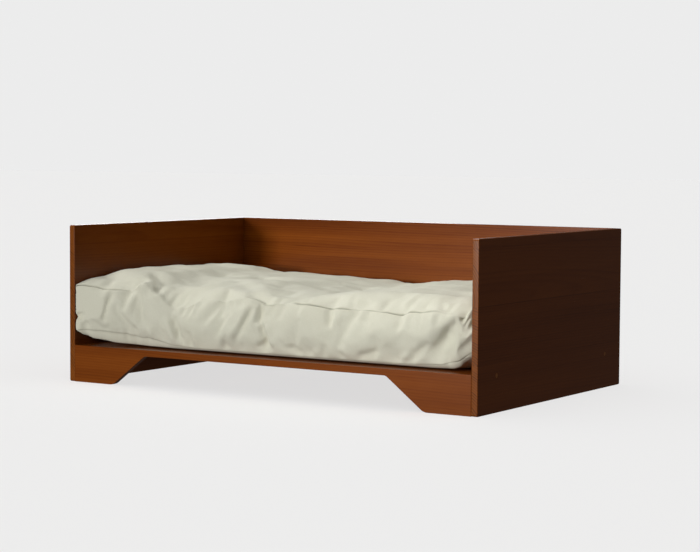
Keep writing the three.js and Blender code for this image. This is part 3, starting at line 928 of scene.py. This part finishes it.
def run_cloth(piece):
    """Lets the cloth settle, keeps the result, and brings back points that went too far."""
    start = [v.co.copy() for v in piece.data.vertices]
    give_cloth(piece)
    scene = bpy.context.scene
    for number in range(1, CLOTH_FRAMES + 1):
        scene.frame_set(number)
    only(piece)
    bpy.ops.object.modifier_apply(modifier="cloth")
    scene.frame_set(1)
    moves = []
    middle = [v.co.z - old.z for v, old in zip(piece.data.vertices, start) if old.z > 0.24]
    print("the top rose by", round(sum(middle) / len(middle) / MM, 1), "mm")
    for vertex, old in zip(piece.data.vertices, start):
        move = (vertex.co - old) / MM
        moves.append(move.length)
        furthest = FURTHEST_MOVE * (0.1 + 0.9 * smooth((old.z / MM - 95) / 70))
        if move.length > furthest:
            vertex.co = old + move * (furthest / move.length) * MM
    print("cloth moved up to", round(max(moves), 1), "mm, on average", round(sum(moves) / len(moves), 1), "mm")


run_cloth(cushion)
fold_all(cushion, FOLDS, 0.35, 0.6)
fold_all(cushion, LATE_FOLDS, 1.0)

# %% [markdown]
# ## The cushion: seams, sides and weave
# After one subdivision the seam lines are drawn in by a needle's depth. The cover is pressed flat where it
# meets the panels and the platform, and its back wall has the channel in which the zip runs. The weave's
# directions are kept with the cloth, as a UV map in metres.

# %% Seams and contact
SEAM_DEPTH = 3.6
# How strongly each seam shows along the front: how deep it is drawn in, and how much painted shade darkens it.
SEAM_SHOWS = ((-535, 0.9), (-425, 0.75), (-385, 0.05), (60, 0.05), (92, 0.9), (400, 0.9), (455, 0.15),
              (505, 0.1), (535, 0.5))
OTHER_SEAMS_SHOW = 0.35
SIDE_LIMIT = 533.6
FRONT_LIMIT = -347
BACK_LIMIT = 333.2
ZIP_WALL = 330
ZIP_CHANNEL = 7.5

seam = cushion.vertex_groups.new(name="seam")
last = max(k for i, j, k in grid_numbers)
edges_of = (max(i for i, j, k in grid_numbers), max(j for i, j, k in grid_numbers))
for index, (i, j, k) in enumerate(grid_numbers):
    if k in (0, last) and (i in (0, edges_of[0]) or j in (0, edges_of[1])):
        seam.add([index], 1.0, "REPLACE")
apply_modifier(cushion, "SUBSURF", levels=1, render_levels=1)

tape_low, tape_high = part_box("zip_tape")
zip_height = (tape_low.z + tape_high.z) / 2 / MM
zip_half = tape_high.x / MM - 8
normals = [v.normal.copy() for v in cushion.data.vertices]
seam_number = cushion.vertex_groups["seam"].index
# The attribute sewn holds how much painted shade darkens the canvas along each seam, for the shadow in its
# crevice.
sewn = cushion.data.attributes.new("sewn", "FLOAT", "POINT")
for vertex, normal in zip(cushion.data.vertices, normals):
    weight = sum(g.weight for g in vertex.groups if g.group == seam_number)
    x, y, z = vertex.co / MM
    shows = along(SEAM_SHOWS, x) if y < -250 and z > 150 else OTHER_SEAMS_SHOW
    sewn.data[vertex.index].value = weight * shows
    x, y, z = Vector((x, y, z)) - normal * weight * SEAM_DEPTH * (0.1 + 0.9 * shows)
    if y > 250:
        flat = (1 - smooth((abs(z - zip_height) - 16) / 34)) * (1 - smooth((abs(x) - zip_half) / 40))
        if normal.y > 0.5:
            y += (ZIP_WALL - y) * flat
            in_channel = (1 - smooth((abs(z - zip_height) - 4) / 4)) * (1 - smooth((abs(x) - zip_half) / 5))
            y -= ZIP_CHANNEL * in_channel
    vertex.co = Vector((min(max(x, -SIDE_LIMIT), SIDE_LIMIT), min(max(y, FRONT_LIMIT), BACK_LIMIT),
                        max(z, FLOOR_OF_BED))) * MM
cushion.vertex_groups.clear()

weave = cushion.data.uv_layers.new(name="weave")
for face in cushion.data.polygons:
    up, side = abs(face.normal.z), abs(face.normal.x)
    for loop in face.loop_indices:
        x, y, z = cushion.data.vertices[cushion.data.loops[loop].vertex_index].co
        weave.data[loop].uv = (x, y) if up > 0.75 else (y, z) if side > 0.6 else (x, z)
for face in cushion.data.polygons:
    face.use_smooth = True
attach(cushion, "cushion")
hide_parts("cushion_cover", "cushion_insert")
print("cushion:", len(cushion.data.polygons), "faces")

# %% [markdown]
# ## Canvas
# The cover is undyed cotton canvas in a plain weave: matt, cream, with slubs where the yarn is thicker and a
# slightly cloudy tone where it has been washed and handled. Warp and weft are two crossing waves on the
# cloth's own UV map. The real yarns are about 0.7 mm apart. That is too fine to show, so they are drawn at
# 1.5 mm. Soft crumples a finger wide lie over the weave, as in cloth that has been sat on. The seam lines are
# painted darker: a painted shade for the shadow in their narrow crevice.

# %% Canvas
# seam is a painted shade colour, for the shadow in the seam crevices.
CANVAS = {"thread": "dad9c8", "hollow": "c9c7b3", "seam": "8c8977"}
THREAD = 1.5 * MM
CRUMPLES_A_METRE = 36.0


def cotton_canvas():
    material, node = new_material("undyed cotton canvas")
    parts = node("SeparateXYZ", Vector=node("UVMap", {"uv_map": "weave"})).outputs
    warp, weft = (node("Math", WAVE, i0=node("Math", TIMES, i0=part, i1=2 * math.pi / THREAD))
                  for part in (parts[0], parts[1]))
    weave_height = node("Math", TIMES, i0=warp, i1=weft)
    place = node("TexCoord").outputs["Object"]
    slub = node("TexNoise", Vector=place, Scale=260.0, Detail=3.0, Roughness=0.6)
    cloud = node("TexNoise", Vector=place, Scale=14.0, Detail=4.0, Roughness=0.55)
    tone = node("Math", TIMES_PLUS, i0=slub, i1=0.5, i2=-0.02)
    tone = node("Math", TIMES_PLUS, i0=cloud, i1=0.6, i2=tone)
    tone = node("Math", TIMES_PLUS, i0=weave_height, i1=0.10, i2=tone)
    colour = node("MixRGB", Fac=tone, Color1=linear(CANVAS["hollow"]), Color2=linear(CANVAS["thread"]))
    # Painted shade: along the seam lines the canvas is darkened towards the seam colour, for the shadow in
    # their crevice.
    painted_seam_shade = node("Attribute", {"attribute_name": "sewn"}).outputs["Fac"]
    colour = node("MixRGB", Fac=painted_seam_shade, Color1=colour, Color2=linear(CANVAS["seam"]))
    height = node("Math", TIMES_PLUS, i0=slub, i1=0.8, i2=weave_height)
    crumple = node("TexNoise", Vector=place, Scale=CRUMPLES_A_METRE, Detail=2.0, Roughness=0.4,
                   Distortion=0.8)
    bump = node("Bump", Height=crumple, Strength=0.4, Distance=2.4 * MM)
    bump = node("Bump", Height=height, Strength=0.25, Distance=0.25 * MM, Normal=bump)
    node("OutputMaterial", Surface=node("BsdfPrincipled", Base_Color=colour, Roughness=0.92, Normal=bump,
                                        IOR=1.4, Sheen_Weight=0.08, Sheen_Roughness=0.5))
    return material


cushion.data.materials.append(cotton_canvas())

# %% [markdown]
# ## Dowels and screws
# The boards are held by glued beech dowels and, through the side panels, by countersunk screws. All that is
# ever seen of them is the heads of the batten screws, from below. Their CAD shapes are right, so they only get
# a finish. Zinc plating gives the eye a cool grey metal, slightly cloudy where the bath took unevenly.

# %% Dowels and screws
BEECH = {"late": "b98a5c", "mid": "cfa577", "early": "d8b389", "end": "b98f63", "gloss": 0.60}
ZINC = {"bright": "c3c6c8", "cloudy": "a3a6a6"}


def plated_zinc():
    material, node = new_material("zinc-plated steel")
    place = node("TexCoord").outputs["Object"]
    cloud = node("TexNoise", Vector=place, Scale=400.0, Detail=3.0, Roughness=0.6)
    colour = node("MixRGB", Fac=cloud, Color1=linear(ZINC["bright"]), Color2=linear(ZINC["cloudy"]))
    gloss = node("Math", TIMES_PLUS, i0=cloud, i1=0.25, i2=0.22)
    node("OutputMaterial", Surface=node("BsdfPrincipled", Base_Color=colour, Roughness=gloss, Metallic=1.0))
    return material


zinc = plated_zinc()
finished = 0
for name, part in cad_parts.items():
    if name.startswith("dowel"):
        crossways = "front" in name or name.startswith("dowel_platform_back")
        solid_wood("beech, " + name, BEECH, part, 1 if crossways else 0, 2, 0.0, 80)
    elif "screw" in name:
        part.data.materials.clear()
        part.data.materials.append(zinc)
    else:
        continue
    finished += 1
print("CAD nodes finished:", finished)

# %% [markdown]
# ## Zip: tape and coil
# The cover opens along its back with a coil zip: two woven polyester tapes, sewn in behind the canvas, with a
# nylon coil along their edges. The coil's turns mesh into a row of small ribs. One rib is a short cylinder with
# eased ends, an array repeats it, and it has few faces because there are hundreds of it.

# %% Zip tape and coil
COIL_PITCH = 1.6 * MM
COIL_RADIUS = 0.62 * MM
COIL_WIDTH = 4.6 * MM
COIL_STOP = 12 * MM
COIL_STANDS = 1.6 * MM
COIL_SUNK = 0.1 * MM


def coil_row(low, high):
    """A row of ribs between the two stops of the tape."""
    middle_z = (low.z + high.z) / 2
    bpy.ops.object.select_all(action="DESELECT")
    start = (low.x + COIL_STOP, high.y - COIL_RADIUS - COIL_SUNK, middle_z)
    bpy.ops.mesh.primitive_cylinder_add(vertices=8, radius=COIL_RADIUS, depth=COIL_WIDTH, location=start)
    rib = bpy.context.object
    bpy.ops.object.transform_apply(location=True, rotation=True, scale=True)
    apply_modifier(rib, "BEVEL", width=0.25 * MM, segments=1, limit_method="ANGLE", angle_limit=1.0)
    count = int((high.x - low.x - 2 * COIL_STOP) / COIL_PITCH) + 1
    apply_modifier(rib, "ARRAY", count=count, use_relative_offset=False, use_constant_offset=True,
                   constant_offset_displace=(COIL_PITCH, 0, 0))
    settle_normals(rib)
    return rib


tape_low, tape_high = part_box("zip_tape")
tape_face = tape_high.y - COIL_STANDS
tape = start_block("zip_tape_and_coil", tape_low, (tape_high.x, tape_face, tape_high.z))
ease_and_smooth(tape, 0.3 * MM, 1)
coil = coil_row(tape_low, tape_high)

# %% Zip tape and coil: finishes
TWILL = 1.2 * MM
TAPE = {"hollow": "a9a48f", "rib": "c4bfab"}
NYLON = {"worn": "b3ae9a", "new": "cfcbb9"}


def woven_tape():
    """Polyester twill tape: matt, with fine slanting ribs, drawn at 1.2 mm where the real ones are 0.5 mm."""
    material, node = new_material("woven polyester tape")
    parts = node("SeparateXYZ", Vector=node("TexCoord").outputs["Object"]).outputs
    slant = node("Math", TIMES, i0=node("Math", PLUS, i0=parts[0], i1=parts[2]), i1=2 * math.pi / TWILL)
    rib = node("Math", WAVE, i0=slant)
    tone = node("Math", TIMES_PLUS, i0=rib, i1=0.5, i2=0.5)
    colour = node("MixRGB", Fac=tone, Color1=linear(TAPE["hollow"]), Color2=linear(TAPE["rib"]))
    bump = node("Bump", Height=rib, Strength=0.3, Distance=0.15 * MM)
    node("OutputMaterial", Surface=node("BsdfPrincipled", Base_Color=colour, Roughness=0.85, Normal=bump))
    return material


def moulded_nylon():
    """Nylon monofilament: smooth and a little waxy, so each rib carries a soft line of light."""
    material, node = new_material("nylon coil")
    place = node("TexCoord").outputs["Object"]
    worn = node("TexNoise", Vector=place, Scale=180.0, Detail=2.0)
    colour = node("MixRGB", Fac=worn, Color1=linear(NYLON["worn"]), Color2=linear(NYLON["new"]))
    gloss = node("Math", TIMES_PLUS, i0=worn, i1=0.2, i2=0.3)
    node("OutputMaterial", Surface=node("BsdfPrincipled", Base_Color=colour, Roughness=gloss, IOR=1.53))
    return material


tape.data.materials.append(woven_tape())
coil.data.materials.append(moulded_nylon())
bpy.ops.object.select_all(action="DESELECT")
coil.select_set(True)
tape.select_set(True)
bpy.context.view_layer.objects.active = tape
bpy.ops.object.join()
stand_for(tape, "zip_tape", "cushion")

# %% [markdown]
# ## Zip: slider
# The slider is a small die-cast body with rounded corners that narrows towards the closed side, a raised
# crown, and a channel that straddles the coil. A block is drawn in at one end, its top face is inset and
# raised, and the channel is cut with a second block. Tumbled zinc alloy gives the eye a soft grey gloss.

# %% Slider: finish
TUMBLED = {"worn": "8f8b80", "bright": "b9b5a8"}


def tumbled_zinc():
    material, node = new_material("tumbled zinc alloy")
    place = node("TexCoord").outputs["Object"]
    worn = node("TexNoise", Vector=place, Scale=700.0, Detail=4.0, Roughness=0.65)
    colour = node("MixRGB", Fac=worn, Color1=linear(TUMBLED["worn"]), Color2=linear(TUMBLED["bright"]))
    gloss = node("Math", TIMES_PLUS, i0=worn, i1=0.3, i2=0.25)
    bump = node("Bump", Height=worn, Strength=0.15, Distance=0.1 * MM)
    node("OutputMaterial", Surface=node("BsdfPrincipled", Base_Color=colour, Roughness=gloss, Normal=bump,
                                        Metallic=1.0))
    return material


# %% Slider: shape
CHANNEL_HALF = 3.0 * MM
CHANNEL_DEPTH = 1.6 * MM
TAIL = 0.82
SLIDER_ROUND = 1.4 * MM
CROWN_INSET, CROWN_HEIGHT = 1.5 * MM, 0.7 * MM


def zip_slider():
    low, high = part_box("zip_slider")
    middle = (low + high) / 2
    slider = start_block("zip_slider_body", low, high)
    bpy.ops.object.mode_set(mode="EDIT")
    pick(slider, "verts", lambda m: abs(m.x - low.x) < 1e-6)
    bpy.ops.transform.resize(value=(1, 1, TAIL), center_override=(low.x, middle.y, middle.z))
    pick(slider, "edges", lambda m: corner_of(m.x, low.x, high.x, 1e-6) and abs(m.z - middle.z) > 1 * MM
         and abs(m.y - middle.y) < 1e-6)
    bpy.ops.mesh.bevel(offset=SLIDER_ROUND, segments=4)
    pick(slider, "faces", lambda m: abs(m.y - high.y) < 1e-6)
    bpy.ops.mesh.inset(thickness=CROWN_INSET)
    bpy.ops.mesh.extrude_region_move(TRANSFORM_OT_translate={"value": (0, CROWN_HEIGHT, 0)})
    bpy.ops.object.mode_set(mode="OBJECT")
    channel = start_block("channel", (low.x - 1 * MM, low.y - 1 * MM, middle.z - CHANNEL_HALF),
                          (high.x + 1 * MM, low.y + CHANNEL_DEPTH, middle.z + CHANNEL_HALF))
    apply_modifier(slider, "BOOLEAN", operation="DIFFERENCE", object=channel, solver="EXACT")
    bpy.data.objects.remove(channel)
    ease_and_smooth(slider, 0.2 * MM, 2)
    slider.data.materials.clear()
    slider.data.materials.append(tumbled_zinc())
    return stand_for(slider, "zip_slider", "zip_slider")


zip_slider()

# %% [markdown]
# ## Sizes
# The CAD model's box is printed. The visual model has to stay in the CAD model's box, apart from a little
# stuffed cloth.

# %% Sizes
print("CAD box:", [round(v, 4) for corner in cad_box for v in corner])
